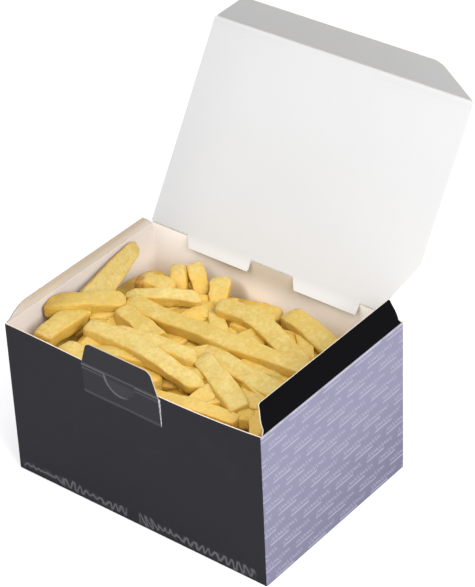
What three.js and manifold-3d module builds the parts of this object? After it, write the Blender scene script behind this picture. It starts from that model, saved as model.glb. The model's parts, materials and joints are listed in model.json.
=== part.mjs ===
// French fries in a folded paperboard carton, standing with its lid open.
// Millimetres, +Z up, -Y to the front. The origin is the centre of the carton's base.
import * as THREE from 'three';
import { mergeVertices } from 'three/addons/utils/BufferGeometryUtils.js';
import Module from 'manifold-3d';

const wasm = await Module();
wasm.setup();

const board = 0.6; // thickness of the paperboard
const halfBoard = board / 2;
const creaseGap = 0.4; // from a fold's axis to the cut edge of each panel beside it
const clearance = 0.3; // between pieces that don't touch

const carton = { width: 165, depth: 117.5, height: 93, sideDrop: 1 }; // side walls end lower by sideDrop
const frontBow = { reach: 2.6, skew: 0.9 }; // the front wall's top bulges outwards, more to the right
const lid = { length: 115.5, halfWidth: 82.3, lean: 32.5, hingeRise: 0.65, cutAcross: 15, cutUp: 29.5 };
const hingeTabs = { offset: -1.2, spacing: 70.2, width: 43, tipWidth: 36.5, depth: 6.2 };
const tuckFlap = { halfWidth: 81, length: 16.5, taper: 18.6, corner: 4, fold: 33.5 };
const dustFlap = { height: 15.7, baseHalf: 57.4, freeHalf: 53.6, rise: 0.75, cornerRadius: 1.5 };
const dustLean = { left: 30, right: 18 }; // inwards from upright
const lockPanel = { centre: -3.6, width: 50.4, height: 17.5, drop: 19.1, tilt: 3.4, turn: 1 };
const lockTab = { height: 14.4, topWidth: 41.4, tilt: 1, corner: 3, moonRadius: 9.8 };

const inner = { x: carton.width / 2 - board, y: carton.depth / 2 - board }; // half widths of the inside
const wallMiddle = { x: carton.width / 2 - halfBoard, y: carton.depth / 2 - halfBoard };
const radians = THREE.MathUtils.degToRad;

// Solids from geometries, and back

function solidOf(geometry) {
  const bare = new THREE.BufferGeometry();
  bare.setAttribute('position', geometry.getAttribute('position'));
  if (geometry.index) bare.setIndex(geometry.index);
  const merged = mergeVertices(bare, 1e-4);
  const vertProperties = new Float32Array(merged.getAttribute('position').array);
  const triVerts = new Uint32Array(merged.index.array);
  return new wasm.Manifold(new wasm.Mesh({ numProp: 3, vertProperties, triVerts }));
}

function geometryOf(solid) {
  const { numProp, vertProperties, triVerts } = solid.getMesh();
  const positions = new Float32Array((vertProperties.length / numProp) * 3);
  for (let i = 0; i < positions.length / 3; i += 1) {
    positions.set(vertProperties.subarray(i * numProp, i * numProp + 3), i * 3);
  }
  const geometry = new THREE.BufferGeometry();
  geometry.setAttribute('position', new THREE.BufferAttribute(positions, 3));
  geometry.setIndex(new THREE.BufferAttribute(new Uint32Array(triVerts), 1));
  geometry.computeVertexNormals();
  return geometry;
}

function block(low, high) {
  const size = high.map((value, i) => value - low[i]);
  const centre = high.map((value, i) => (value + low[i]) / 2);
  return new THREE.BoxGeometry(...size).translate(...centre);
}

// A flat panel in the XY plane, its thickness shared by both sides of that plane
function panel(outline, thickness = board) {
  const settings = { depth: thickness, bevelEnabled: false, curveSegments: 6 };
  return new THREE.ExtrudeGeometry(outline, settings).translate(0, 0, -thickness / 2);
}

// A closed outline through corners [x, y, radius], each rounded by its radius
function roundedOutline(corners) {
  const outline = new THREE.Shape();
  const count = corners.length;
  for (let i = 0; i < count; i += 1) {
    const [x, y, radius = 0] = corners[i];
    const here = new THREE.Vector2(x, y);
    const before = new THREE.Vector2(...corners[(i + count - 1) % count]).sub(here).setLength(radius);
    const after = new THREE.Vector2(...corners[(i + 1) % count]).sub(here).setLength(radius);
    if (i === 0) outline.moveTo(x + before.x, y + before.y);
    else outline.lineTo(x + before.x, y + before.y);
    if (radius > 0) outline.quadraticCurveTo(x, y, x + after.x, y + after.y);
  }
  outline.closePath();
  return outline;
}

// The carton: base, four walls, the notches that its hinge tabs leave, and the lock panel

// How far the front wall stands out of its plane
function bulge(x, z) {
  const across = x / (carton.width / 2);
  const crown = (1 - across ** 2) * (1 + frontBow.skew * across);
  return frontBow.reach * crown * (z / carton.height) ** 2;
}

function bowedBlock(low, high) {
  const size = high.map((value, i) => value - low[i]);
  const centre = high.map((value, i) => (value + low[i]) / 2);
  const box = new THREE.BoxGeometry(...size, 16, 1, 8).translate(...centre);
  const position = box.getAttribute('position');
  for (let i = 0; i < position.count; i += 1) {
    if (position.getY(i) < 0) position.setY(i, position.getY(i) - bulge(position.getX(i), position.getZ(i)));
  }
  return box;
}

function hingeTabCentres() {
  return [-1, 1].map((side) => hingeTabs.offset + (side * hingeTabs.spacing) / 2);
}

function hingeNotch(centre) {
  const half = hingeTabs.width / 2 + creaseGap;
  const tipHalf = hingeTabs.tipWidth / 2 + creaseGap;
  const depth = hingeTabs.depth + creaseGap;
  const corners = [[centre - tipHalf, -depth], [centre + tipHalf, -depth], [centre + half, 1], [centre - half, 1]];
  return panel(roundedOutline(corners), board * 3)
    .rotateX(Math.PI / 2)
    .translate(0, wallMiddle.y, carton.height);
}

function lockPanelFoot() {
  const z = carton.height - lockPanel.drop;
  return [lockPanel.centre, -wallMiddle.y - bulge(lockPanel.centre, z), z];
}

function lockPanelGeometry() {
  const half = lockPanel.width / 2;
  const top = lockPanel.height - creaseGap;
  const moon = lockTab.moonRadius + creaseGap;
  const outline = new THREE.Shape();
  outline.moveTo(-half, -board);
  outline.lineTo(half, -board);
  outline.lineTo(half, top);
  outline.lineTo(moon, top);
  outline.absarc(0, top, moon, 0, -Math.PI, true);
  outline.lineTo(-half, top);
  outline.closePath();
  return panel(outline)
    .rotateX(Math.PI / 2 + radians(lockPanel.tilt))
    .rotateZ(-radians(lockPanel.turn))
    .translate(...lockPanelFoot());
}

function cartonGeometry() {
  const { width, depth, height, sideDrop } = carton;
  const half = [width / 2, depth / 2];
  let solid = solidOf(bowedBlock([-half[0], -half[1], 0], [half[0], half[1], height]));
  solid = solid.subtract(solidOf(bowedBlock([-inner.x, -inner.y, board], [inner.x, inner.y, height + 1])));
  const low = height - sideDrop;
  solid = solid.subtract(solidOf(block([-width, -inner.y, low], [width, inner.y, height + 1])));
  const slot = lockPanel.width / 2 + creaseGap;
  const window = block(
    [lockPanel.centre - slot, -depth, height - lockPanel.drop],
    [lockPanel.centre + slot, -inner.y + board, height + 1],
  );
  solid = solid.subtract(solidOf(window)).add(solidOf(lockPanelGeometry()));
  for (const centre of hingeTabCentres()) solid = solid.subtract(solidOf(hingeNotch(centre)));
  return geometryOf(solid);
}

// The lid: one panel with two hinge tabs that lie in the same plane, past the fold

function lidGeometry() {
  const { length, halfWidth, cutAcross, cutUp } = lid;
  const end = length - creaseGap;
  const corners = [[-halfWidth, creaseGap], [halfWidth - cutAcross, creaseGap], [halfWidth, cutUp]];
  corners.push([halfWidth, end], [-halfWidth, end]);
  let solid = solidOf(panel(roundedOutline(corners)));
  for (const centre of hingeTabCentres()) {
    const half = hingeTabs.width / 2;
    const tipHalf = hingeTabs.tipWidth / 2;
    const tab = [[centre - tipHalf, -hingeTabs.depth], [centre + tipHalf, -hingeTabs.depth]];
    tab.push([centre + half, 0], [centre + half, 1], [centre - half, 1], [centre - half, 0]);
    solid = solid.add(solidOf(panel(roundedOutline(tab))));
  }
  return geometryOf(solid);
}

function tuckFlapGeometry() {
  const { halfWidth, length, taper, corner } = tuckFlap;
  const corners = [[-halfWidth, creaseGap], [halfWidth, creaseGap]];
  corners.push([halfWidth - taper, length, corner], [taper - halfWidth, length, corner]);
  return panel(roundedOutline(corners));
}

// A dust flap: x runs along its fold, towards the end given second
function dustFlapGeometry(firstEnd, secondEnd) {
  const mirrored = firstEnd.map(([x, y, radius]) => [-x, y, radius]);
  return panel(roundedOutline([...mirrored, ...[...secondEnd].reverse()]));
}

function dustFlapEnds() {
  const { height, baseHalf, freeHalf, cornerRadius } = dustFlap;
  const scooped = [[freeHalf, height, cornerRadius], [55.3, 8, 2], [55.7, 2, 0.8], [baseHalf, creaseGap]];
  const rounded = [[freeHalf - 1.5, height, 5], [55.3, 8, 2], [55.7, 2, 0.8], [baseHalf, creaseGap]];
  const slanted = [[baseHalf - height + 1.3, height, 2], [55.8, 2.6, 1], [baseHalf, creaseGap]];
  return { scooped, rounded, slanted };
}

function lockTabGeometry() {
  const { height, topWidth, corner, moonRadius } = lockTab;
  const outline = new THREE.Shape();
  outline.moveTo(-lockPanel.width / 2, creaseGap);
  outline.lineTo(-moonRadius, creaseGap);
  outline.lineTo(-moonRadius, 0);
  outline.absarc(0, 0, moonRadius, Math.PI, 2 * Math.PI, false);
  outline.lineTo(moonRadius, creaseGap);
  outline.lineTo(lockPanel.width / 2, creaseGap);
  outline.lineTo(topWidth / 2 + corner / 3, height - corner);
  outline.quadraticCurveTo(topWidth / 2, height, topWidth / 2 - corner, height);
  outline.lineTo(corner - topWidth / 2, height);
  outline.quadraticCurveTo(-topWidth / 2, height, -topWidth / 2 - corner / 3, height - corner);
  outline.closePath();
  return panel(outline);
}

// The fries

const seed = { value: 20 };
function random() {
  seed.value = (seed.value * 48271) % 2147483647; // a Lehmer sequence, the same in every run
  return seed.value / 2147483647;
}

const between = (low, high) => low + (high - low) * random();

// Fries that show, each [[x, y, depth below the rim] ..., width, height], from end to end
const showingFries = [
  { path: [[-51, 3, 9.5], [-4, 2, 8], [31, 1, 7], [61, 6, 9]], width: 9, height: 8 },
  { path: [[-58, -32, 10], [-15, -33, 9], [27, -37, 9]], width: 10, height: 8.5 },
  { path: [[-13, 31, 9], [15, 29, 8.5], [36, 22, 9], [60, 14, 10]], width: 8, height: 8 },
  { path: [[-66, -12, 13], [-71, 10, 10], [-77.6, 38, 5.2]], width: 17, height: 8, taper: 0.5 },
  { path: [[-79, -27, 6], [-64, -13, 6], [-47, 2, 8]], width: 9.5, height: 8.5 },
  { path: [[-54, 7, 8], [-21, 24, 8]], width: 7.5, height: 7.5 },
  { path: [[-76, -21, 12], [-69, -47, 11]], width: 10.5, height: 9 },
  { path: [[-51, -8, 8.5], [-17, -14, 11]], width: 7.5, height: 7.5 },
  { path: [[-34, -21, 11], [14, -25, 9]], width: 8.5, height: 8 },
  { path: [[7, -12, 11], [53, -40, 11]], width: 9.5, height: 8.5 },
  { path: [[10, -4, 13], [58, -14, 14]], width: 8, height: 8 },
  { path: [[-6, -47, 16], [54, -39, 15]], width: 8, height: 7 },
  { path: [[50, -26, 14], [68, -43, 14]], width: 8.5, height: 8 },
  { path: [[-57, -44, 14], [-14, -46, 16]], width: 8, height: 8 },
  { path: [[-59, 52, 17], [-42, 34, 25]], width: 7, height: 7 },
  { path: [[-48, 52.5, 14], [-28, 38, 22]], width: 8.5, height: 8 },
  { path: [[-28, 51, 13], [-20, 33, 22]], width: 8, height: 8 },
  { path: [[-70, 31, 21], [-44, 37, 20]], width: 8, height: 7.5 },
  { path: [[18, 47, 13], [60, 39, 15]], width: 8.5, height: 8 },
  { path: [[-2, 45, 16], [26, 44, 17]], width: 7.5, height: 7 },
  { path: [[32, 39, 19], [68, 30, 19]], width: 7.5, height: 7.5 },
  { path: [[5, 26, 12], [24, 4, 14]], width: 7.5, height: 8 },
  { path: [[14, 22, 17], [44, 11, 17]], width: 7.5, height: 7.5 },
  { path: [[-24, 35, 13], [-21, 14, 14]], width: 8, height: 7.5 },
  { path: [[-12, 22, 18], [16, 17, 18]], width: 7.5, height: 7.5 },
];

// A fry: an eight-sided bar with blunt ends, bent along its path
function fryGeometry({ path, width, height, taper = 1 }) {
  const points = path.map(([x, y, depth]) => new THREE.Vector3(x, y, carton.height - depth));
  const curve = points.length > 2 ? new THREE.CatmullRomCurve3(points) : new THREE.LineCurve3(...points);
  const segments = points.length > 2 ? points.length + 1 : 2;
  const bar = new THREE.CylinderGeometry(1, 1, 1, 8, segments, false, Math.PI / 8);
  const position = bar.getAttribute('position');
  const across = new THREE.Vector3();
  const upright = new THREE.Vector3(0, 0, 1);
  for (let i = 0; i < position.count; i += 1) {
    const along = position.getY(i) + 0.5;
    const [a, b] = [position.getX(i), position.getZ(i)];
    const corner = Math.hypot(a, b) > 0.5 ? 1 : 0;
    const [wide, tall] = Math.abs(a) > Math.abs(b) ? [1, 0.66] : [0.66, 1];
    const blunt = Math.abs(along - 0.5) > 0.499 ? 0.8 : 1;
    const scale = blunt * (1 - (1 - taper) * along);
    const tangent = curve.getTangentAt(along);
    across.crossVectors(tangent, upright).normalize();
    const above = new THREE.Vector3().crossVectors(across, tangent);
    const place = curve.getPointAt(along);
    place.addScaledVector(across, (Math.sign(a) * wide * corner * scale * width) / 2);
    place.addScaledVector(above, (Math.sign(b) * tall * corner * scale * height) / 2);
    position.setXYZ(i, place.x, place.y, place.z);
  }
  return bar;
}

// The packed fries under the ones that show: a block with an uneven top, lower towards the walls
const core = { depth: 14, sag: 15, waves: 1.5, columns: 16, rows: 14 };
const coreFlat = { side: 0.55, back: 0.35, front: 0.75 }; // where it starts to fall, as shares of the half width

function coreDepth(x, y) {
  const side = Math.max(0, Math.abs(x) / inner.x - coreFlat.side) / (1 - coreFlat.side);
  const back = Math.max(0, y / inner.y - coreFlat.back) / (1 - coreFlat.back);
  const front = Math.max(0, -y / inner.y - coreFlat.front) / (1 - coreFlat.front);
  const fall = Math.min(1, Math.hypot(side ** 2, back ** 2, front ** 2));
  return core.depth + core.sag * fall - core.waves * Math.sin(x / 9) * Math.cos(y / 11);
}

function coreGeometry() {
  const floor = board + clearance;
  const size = [(inner.x - clearance * 2) * 2, (inner.y - clearance * 2) * 2];
  const box = new THREE.BoxGeometry(...size, 1, core.columns, core.rows, 1);
  const position = box.getAttribute('position');
  for (let i = 0; i < position.count; i += 1) {
    const top = carton.height - coreDepth(position.getX(i), position.getY(i));
    position.setZ(i, position.getZ(i) > 0 ? top : floor);
  }
  return box;
}

// Deeper fries that lie on the core, by a seeded draw, behind the tuck flap's path
const frontLimit = -52;
function deeperFries(count) {
  const fries = [];
  while (fries.length < count) {
    const half = between(19, 30);
    const turn = between(0, Math.PI);
    const reach = [Math.abs(Math.cos(turn)) * half + 6, Math.abs(Math.sin(turn)) * half + 6];
    const x = between(-1, 1) * (inner.x - reach[0]);
    const y = between(frontLimit + reach[1], inner.y - reach[1]);
    const lift = between(-1.5, 2.5);
    const slope = between(-2, 2);
    const ends = [-1, 1].map((side) => [
      x + side * half * Math.cos(turn),
      y + side * half * Math.sin(turn),
      coreDepth(x, y) - lift + side * slope,
    ]);
    fries.push({ path: ends, width: between(7.5, 9), height: between(7, 8.5) });
  }
  return fries;
}

// Only the outer shell is kept: hollows that fusing sealed are filled, and loose scraps dropped
function outerShell(solid) {
  const shells = solid.decompose();
  return shells.reduce((best, shell) => (shell.volume() > best.volume() ? shell : best));
}

function friesGeometry() {
  const room = block(
    [-inner.x + clearance, -inner.y + clearance, board + clearance],
    [inner.x - clearance, inner.y - clearance, carton.height - carton.sideDrop - clearance],
  );
  let solid = solidOf(coreGeometry());
  for (const fry of [...showingFries, ...deeperFries(24)]) solid = solid.add(solidOf(fryGeometry(fry)));
  return geometryOf(outerShell(solid.intersect(solidOf(room))));
}

// Scene graph

const blackBoard = new THREE.MeshStandardMaterial({ color: 0x38373c, roughness: 0.6, metalness: 0 });
const whiteBoard = new THREE.MeshStandardMaterial({ color: 0xe9e7e2, roughness: 0.8, metalness: 0 });
const friedPotato = new THREE.MeshStandardMaterial({ color: 0xe6c368, roughness: 0.6, metalness: 0 });

function part(name, geometry, material) {
  const mesh = new THREE.Mesh(geometry, material);
  mesh.name = name;
  return mesh;
}

function lidGroup() {
  const hinged = new THREE.Group();
  hinged.position.set(0, wallMiddle.y, carton.height + lid.hingeRise);
  hinged.rotation.x = radians(90 - lid.lean);
  hinged.add(part('lid', lidGeometry(), whiteBoard));
  const tuck = part('tuck_flap', tuckFlapGeometry(), whiteBoard);
  tuck.position.set(0, lid.length, 0);
  tuck.rotation.x = radians(tuckFlap.fold);
  hinged.add(tuck);
  return hinged;
}

function dustFlapMesh(side) {
  const { scooped, rounded, slanted } = dustFlapEnds();
  const geometry = side > 0 ? dustFlapGeometry(scooped, scooped) : dustFlapGeometry(slanted, rounded);
  const mesh = part(side > 0 ? 'dust_flap_right' : 'dust_flap_left', geometry, blackBoard);
  const lean = radians(side > 0 ? dustLean.right : dustLean.left);
  const along = new THREE.Vector3(0, side, 0);
  const up = new THREE.Vector3(-side * Math.sin(lean), 0, Math.cos(lean));
  const outwards = new THREE.Vector3().crossVectors(along, up);
  mesh.quaternion.setFromRotationMatrix(new THREE.Matrix4().makeBasis(along, up, outwards));
  mesh.position.set(side * wallMiddle.x, 0, carton.height - carton.sideDrop + dustFlap.rise);
  return mesh;
}

// Stands a panel up, tilts it outwards and turns it with the front wall
function lockTurn(tilt) {
  return new THREE.Euler(Math.PI / 2 + radians(tilt), 0, -radians(lockPanel.turn), 'ZXY');
}

function lockTabMesh() {
  const mesh = part('lock_tab', lockTabGeometry(), blackBoard);
  const upwards = new THREE.Vector3(0, lockPanel.height, 0);
  upwards.applyEuler(lockTurn(lockPanel.tilt));
  mesh.position.set(...lockPanelFoot()).add(upwards);
  mesh.rotation.copy(lockTurn(lockTab.tilt));
  return mesh;
}

const group = new THREE.Group();
group.add(part('carton', cartonGeometry(), blackBoard));
group.add(lidGroup());
group.add(dustFlapMesh(-1));
group.add(dustFlapMesh(1));
group.add(lockTabMesh());
group.add(part('fries_heap', friesGeometry(), friedPotato));

export default group;
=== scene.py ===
import json
import math
import random

import bmesh
import bpy
from mathutils import Matrix, Vector, noise


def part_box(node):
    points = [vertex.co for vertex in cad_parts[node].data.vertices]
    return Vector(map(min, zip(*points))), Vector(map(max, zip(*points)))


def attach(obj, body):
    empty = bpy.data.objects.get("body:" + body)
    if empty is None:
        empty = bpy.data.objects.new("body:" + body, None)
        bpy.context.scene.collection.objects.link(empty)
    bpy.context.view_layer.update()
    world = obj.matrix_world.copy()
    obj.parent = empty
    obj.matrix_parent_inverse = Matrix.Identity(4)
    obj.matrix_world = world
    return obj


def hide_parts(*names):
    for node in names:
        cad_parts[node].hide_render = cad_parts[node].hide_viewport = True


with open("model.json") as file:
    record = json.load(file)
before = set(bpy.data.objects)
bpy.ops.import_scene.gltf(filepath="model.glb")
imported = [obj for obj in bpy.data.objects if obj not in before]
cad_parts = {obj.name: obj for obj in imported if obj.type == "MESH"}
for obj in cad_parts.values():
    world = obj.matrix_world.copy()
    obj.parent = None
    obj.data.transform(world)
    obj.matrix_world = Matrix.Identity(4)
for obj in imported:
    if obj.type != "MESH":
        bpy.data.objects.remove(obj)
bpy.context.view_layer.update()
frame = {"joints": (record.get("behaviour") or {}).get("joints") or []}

mm = 0.001

halfWidth, halfDepth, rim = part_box("carton")[1]
hinges = {joint["name"]: joint for joint in frame["joints"]}


# Selecting and editing

def pickNone():
    bpy.ops.object.select_all(action="DESELECT")


def pick(piece):
    pickNone()
    piece.select_set(True)
    bpy.context.view_layer.objects.active = piece


def openEdit(piece, mode="FACE"):
    pick(piece)
    bpy.ops.object.mode_set(mode="EDIT")
    bpy.ops.mesh.select_mode(type=mode)
    bpy.ops.mesh.select_all(action="DESELECT")


def closeEdit():
    bpy.ops.object.mode_set(mode="OBJECT")


def choose(piece, kind, test):  # kind is verts, edges or faces
    shape = bmesh.from_edit_mesh(piece.data)
    bpy.ops.mesh.select_all(action="DESELECT")
    for part in getattr(shape, kind):
        if test(part):
            part.select_set(True)
    shape.select_flush_mode()
    bmesh.update_edit_mesh(piece.data)


def middle(edge):
    return (edge.verts[0].co + edge.verts[1].co) / 2


def level(value, place):
    return abs(value - place) < 0.01 * mm


def named(name):
    piece = bpy.context.object
    piece.name = piece.data.name = name
    bpy.ops.object.transform_apply(location=True, rotation=True, scale=True)
    return piece


def addBlock(name, low, high):
    low, high = Vector(low), Vector(high)
    pickNone()
    bpy.ops.mesh.primitive_cube_add(size=1, location=(low + high) / 2, scale=high - low)
    return named(name)


def addSheet(name, low, high):  # a flat sheet in the XY plane
    size = (high[0] - low[0], high[1] - low[1], 1)
    place = ((high[0] + low[0]) / 2, (high[1] + low[1]) / 2, 0)
    pickNone()
    bpy.ops.mesh.primitive_plane_add(size=1, location=place)
    bpy.context.object.scale = size
    return named(name)


def modify(piece, kind, **settings):
    pick(piece)
    modifier = piece.modifiers.new(kind.title(), kind)
    for key, value in settings.items():
        setattr(modifier, key, value)
    bpy.ops.object.modifier_apply(modifier=modifier.name)


def cut(piece, place, normal, clear=False):  # in edit mode; clear drops what lies ahead of the normal
    bpy.ops.mesh.select_all(action="SELECT")
    bpy.ops.mesh.bisect(plane_co=place, plane_no=normal, clear_outer=clear)


def carve(piece, cutter, operation="DIFFERENCE"):
    modify(piece, "BOOLEAN", object=cutter, operation=operation, solver="EXACT", material_mode="TRANSFER")
    bpy.data.objects.remove(cutter)


def join(pieces, name):
    pickNone()
    for piece in pieces:
        piece.select_set(True)
    bpy.context.view_layer.objects.active = pieces[0]
    if len(pieces) > 1:
        bpy.ops.object.join()
    pieces[0].name = pieces[0].data.name = name
    return pieces[0]


def setMaterials(piece, materials):
    piece.data.materials.clear()
    for material in materials:
        piece.data.materials.append(material)


def smooth(piece, degrees=35):
    pick(piece)
    bpy.ops.object.shade_smooth_by_angle(angle=math.radians(degrees))


def finishPiece(piece, body, slotName, *nodes):
    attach(piece, body)
    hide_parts(*nodes)


def storeVectors(piece, name, vectors):  # one vector for each point, read by the materials
    made = piece.data.attributes.new(name, "FLOAT_VECTOR", "POINT")
    made.data.foreach_set("vector", [part for vector in vectors for part in vector])


def ease(low, high, value):  # a smooth step from 0 to 1
    share = min(1, max(0, (value - low) / (high - low)))
    return share * share * (3 - 2 * share)


# Materials

class Wire:  # a shader socket that takes arithmetic
    def __init__(self, paint, socket):
        self.paint, self.socket = paint, socket

    def maths(self, operation, *values):
        made = self.paint.node("Math", {"operation": operation})
        for socket, value in zip(made.inputs, values):
            self.paint.feed(socket, value)
        return Wire(self.paint, made.outputs[0])

    def step(self, low, high):  # 0 below low, 1 above high
        made = self.paint.node("MapRange", {"interpolation_type": "SMOOTHSTEP"}, {
            "Value": self, "From Min": low, "From Max": high, "To Min": 0.0, "To Max": 1.0})
        return Wire(self.paint, made.outputs["Result"])

    def __rsub__(self, other):
        return self.maths("SUBTRACT", other, self)

    def under(self, low, high):
        return 1 - self.step(low, high)

    def near(self, place, low, high):  # 1 within low of a place, 0 beyond high
        return (self - place).size().under(low, high)


def socketMaths(operation):
    return lambda wire, *others: wire.maths(operation, wire, *others)


for name, operation in {"__add__": "ADD", "__radd__": "ADD", "__sub__": "SUBTRACT", "__mul__": "MULTIPLY",
                        "__rmul__": "MULTIPLY", "__truediv__": "DIVIDE", "sine": "SINE", "size": "ABSOLUTE",
                        "root": "SQRT", "floor": "FLOOR", "most": "MAXIMUM", "least": "MINIMUM"}.items():
    setattr(Wire, name, socketMaths(operation))


class Paint:  # one procedural material
    def __init__(self, name):
        self.material = bpy.data.materials.new(name)
        self.material.use_nodes = True
        self.tree = self.material.node_tree
        self.shader = self.tree.nodes["Principled BSDF"]
        self.place = self.out(self.node("TexCoord"), "Object")

    def feed(self, socket, value):
        if isinstance(value, Wire):
            self.tree.links.new(value.socket, socket)
        else:
            socket.default_value = value

    def node(self, kind, settings=None, sockets=None):
        made = self.tree.nodes.new("ShaderNode" + kind)
        for key, value in (settings or {}).items():
            setattr(made, key, value)
        for key, value in (sockets or {}).items():
            self.feed(made.inputs[key], value)
        return made

    def out(self, node, name=0):
        return Wire(self, node.outputs[name])

    def axes(self, vector=None):
        parts = self.node("SeparateXYZ", None, {"Vector": vector or self.place})
        return [self.out(parts, name) for name in ("X", "Y", "Z")]

    def attribute(self, name, output):
        return self.out(self.node("Attribute", {"attribute_name": name}), output)

    def speckle(self, scale, detail, vector=None):
        made = self.node("TexNoise", None, {
            "Vector": vector or self.place, "Scale": scale, "Detail": detail, "Roughness": 0.55})
        return self.out(made, "Fac")

    def blend(self, share, first, second):
        made = self.node("Mix", {"data_type": "RGBA"}, {0: share})
        self.feed(made.inputs[6], (*first, 1) if isinstance(first, tuple) else first)
        self.feed(made.inputs[7], (*second, 1) if isinstance(second, tuple) else second)
        return Wire(self, made.outputs[2])

    def relief(self, height, distance, strength):
        made = self.node("Bump", None, {"Height": height, "Distance": distance, "Strength": strength})
        self.feed(self.shader.inputs["Normal"], self.out(made, "Normal"))

    def set(self, **sockets):
        for key, value in sockets.items():
            name = {"color": "Base Color", "roughness": "Roughness", "specular": "Specular IOR Level",
                    "subsurface": "Subsurface Weight", "subsurfaceScale": "Subsurface Scale",
                    "subsurfaceRadius": "Subsurface Radius"}[key]
            if name == "Base Color" and isinstance(value, tuple):
                value = (*value, 1)
            self.feed(self.shader.inputs[name], value)
        return self.material


boardFinish = {
    # the board's inside is one material; the wall, side, flap, lid and tuck colours are lit and shaded copies
    # of it, set lighter or darker as painted light and shade for how light falls on each
    "wall": (0.95, 0.92, 0.90),
    # painted warm light bounced from the fries, near the food on the rear walls and the sides
    "wallBounce": (0.95, 0.885, 0.81),
    "side": (0.555, 0.505, 0.48),
    "sideWarm": (0.76, 0.68, 0.59),
    "flap": (0.70, 0.67, 0.66),
    # painted shade: a darker patch high on the rear wall's middle
    "paintedShade": (0.58, 0.51, 0.42),
    # painted shadow of a fry on the rear wall
    "fryShadow": (0.42, 0.30, 0.15),
    # painted shade towards the flaps' free edges
    "flapShade": (0.50, 0.43, 0.34),
    "lid": (0.460, 0.460, 0.464),
    # painted shade and painted light on the lid's inside
    "lidShade": (0.410, 0.410, 0.415),
    "lidLight": (0.492, 0.486, 0.478),
    "tuck": (0.33, 0.33, 0.335),
    "edge": (0.60, 0.545, 0.455),
    "sideEdge": (0.58, 0.53, 0.45),
    # painted shade: the left flap's cut edge is set much darker than the other cut edges
    "flapEdge": (0.30, 0.25, 0.20),
    "tabRim": (0.42, 0.36, 0.27),
    "torn": (0.44, 0.44, 0.46),
    "frontBlack": (0.0068, 0.0064, 0.0100),
    "tabBlack": (0.0085, 0.0080, 0.0118),
    "tabWorn": (0.12, 0.118, 0.13),
    # painted shade: the flaps' black is the front's ink set darker
    "flapBlack": (0.0007, 0.0007, 0.0012),
    "lilac": (0.146, 0.140, 0.210),
    # painted shade towards the side walls' bottom and rear
    "lilacShadeLow": (0.103, 0.100, 0.157),
    "lilacLine": (0.245, 0.236, 0.312),
    "lilacCrease": (0.45, 0.43, 0.52),
    "frontLine": (0.13, 0.128, 0.14),
}


# Where the walls' insides take painted shade and a painted fry shadow, where the flaps darken with painted
# shade, and where the lid's inside turns grey or white with painted shade, painted light and a painted
# highlight along its fold: places and soft edges
insideMarks = {"rear": (halfDepth - 4 * mm, halfDepth - mm), "shadeUp": (rim - 22 * mm, rim - 5 * mm),
               "shadeAcross": (-10 * mm, 16 * mm, 52 * mm), "fryShadow": (-25 * mm, rim - 24 * mm, 7 * mm),
               "flapShade": (rim + 2 * mm, rim + 13 * mm), "lidShade": (-90 * mm, -35 * mm),
               "lidLight": (rim, rim + 60 * mm), "lidLightAcross": (-80 * mm, -45 * mm),
               "fold": (rim - 3 * mm, rim + 2.5 * mm)}


def shade(base, share):
    return tuple(share * part for part in base)


def boardInside(name, base, friesBounce=None, paintedShade=None, light=None, reach=60 * mm):
    paint = Paint(name)
    x, y, z = paint.axes()
    mark = insideMarks
    fibre = paint.speckle(900, 2)
    clean = paint.blend(paint.speckle(22, 3).step(0.3, 0.7) * 0.5, base, shade(base, 0.97))
    if friesBounce:  # painted warm light bounced from the fries near the food; painted shade and a painted fry shadow high on the rear wall
        bounceShare = z.under(rim - reach, rim) * (0.8 + 0.2 * paint.speckle(30, 2))
        clean = paint.blend(bounceShare, clean, friesBounce)
        # painted shade: darkens a patch high on the rear wall's middle, set against the side light
        rear = y.step(*mark["rear"])
        shadedPatch = rear * z.step(*mark["shadeUp"]) * x.near(*mark["shadeAcross"])
        clean = paint.blend(shadedPatch, clean, boardFinish["paintedShade"])
        # painted shadow of a fry, a soft round patch on the rear wall
        centre, height, radius = mark["fryShadow"]
        across, up = (x - centre) / radius, (z - height) / radius
        fryShadowShare = (across * across + up * up).under(0, 2.0) * rear * 0.6
        clean = paint.blend(fryShadowShare, clean, boardFinish["fryShadow"])
    # painted shade: the flap's inside darkens towards its free edge
    if paintedShade:
        clean = paint.blend(z.step(*mark["flapShade"]) * 0.8, clean, paintedShade)
    if light:  # painted light whiter towards the hinge, a painted highlight along its fold, painted shade greyer along the left edge
        clean = paint.blend(x.under(*mark["lidShade"]) * 0.6, clean, boardFinish["lidShade"])
        clean = paint.blend(z.under(*mark["lidLight"]) * 0.8 * x.step(*mark["lidLightAcross"]), clean, light)
        clean = paint.blend(z.under(*mark["fold"]) * 0.3, clean, boardFinish["flap"])
    return paint.set(color=clean, roughness=0.7 + 0.04 * fibre, specular=0.25)


def tornBoard():
    paint = Paint("tornBoard")
    fibre = paint.speckle(1300, 3)
    tone = paint.blend(fibre.step(0.4, 0.62), boardFinish["torn"], shade(boardFinish["torn"], 0.45))
    paint.relief(fibre, 0.00015, 0.8)
    return paint.set(color=tone, roughness=0.9, specular=0.1)


def boardEdge(name, base):
    paint = Paint(name)
    layers = paint.speckle(1400, 2)
    tone = paint.blend(layers.step(0.35, 0.7), base, shade(base, 0.8))
    paint.relief(layers, 0.00008, 0.6)
    return paint.set(color=tone, roughness=0.85, specular=0.2)


def blackPrint(name, base):
    paint = Paint(name)
    fibre = paint.speckle(700, 3)
    wear = paint.speckle(60, 4).step(0.5, 0.8)
    tone = paint.blend(wear * 0.3 + fibre * 0.1, base, shade(base, 1.7))
    paint.relief(fibre, 0.00004, 0.3)
    return paint, tone, fibre


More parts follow.
